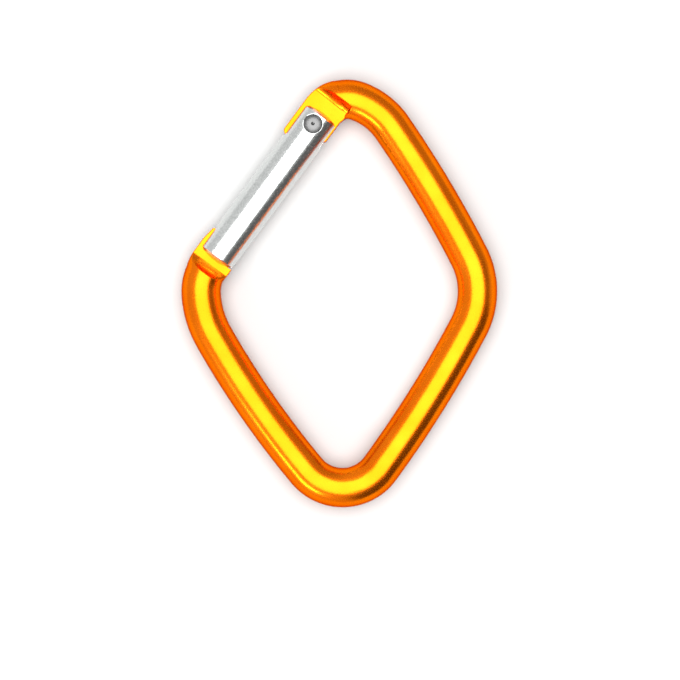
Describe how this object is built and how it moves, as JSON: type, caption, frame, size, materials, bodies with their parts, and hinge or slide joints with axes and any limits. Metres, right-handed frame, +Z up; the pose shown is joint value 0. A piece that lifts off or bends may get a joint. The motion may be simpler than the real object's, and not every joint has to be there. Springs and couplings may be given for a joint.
{
  "type": "carabiner keyring",
  "caption": "Small diamond-shaped accessory carabiner for keys, bent round bar with a sprung swing gate on a riveted hinge.",
  "frame": {"origin": "middle of the box around the carabiner as it lies flat, on the surface it lies on", "axes": "+Y along the carabiner's long side towards the hinge end, +X across it away from the gate, +Z up out of the loop's plane"},
  "size_m": [0.048, 0.065, 0.006],
  "materials": {
    "anodised_orange": "glossy orange anodised",
    "plain_aluminium": "bright drawn",
    "rivet_steel": "bright",
    "plunger_steel": "turned",
    "spring_steel": "drawn wire"
  },
  "bodies": {
    "frame": {"frame": "anodised_orange"},
    "gate": {"gate": "plain_aluminium", "hinge_rivet": "rivet_steel", "return_spring": "spring_steel"},
    "plunger": {"plunger": "plunger_steel"}
  },
  "joints": [
    {"name": "gate_hinge", "type": "hinge", "parent": "frame", "child": "gate", "pos_m": [-0.00399, 0.02566, 0.003], "axis": [0, 0, 1], "range_deg": [0, 69], "stiffness_Nm_per_rad": 0.003, "springref_deg": -171.89},
    {"name": "plunger_slide", "type": "slide", "parent": "gate", "child": "plunger", "axis": [-0.5934, -0.8049, 0], "range_m": [0, 0.00121], "deforming": ["return_spring"]}
  ],
  "couplings": [
    {"joint": "plunger_slide", "follows": "gate_hinge", "m_per_rad": 0.001}
  ]
}
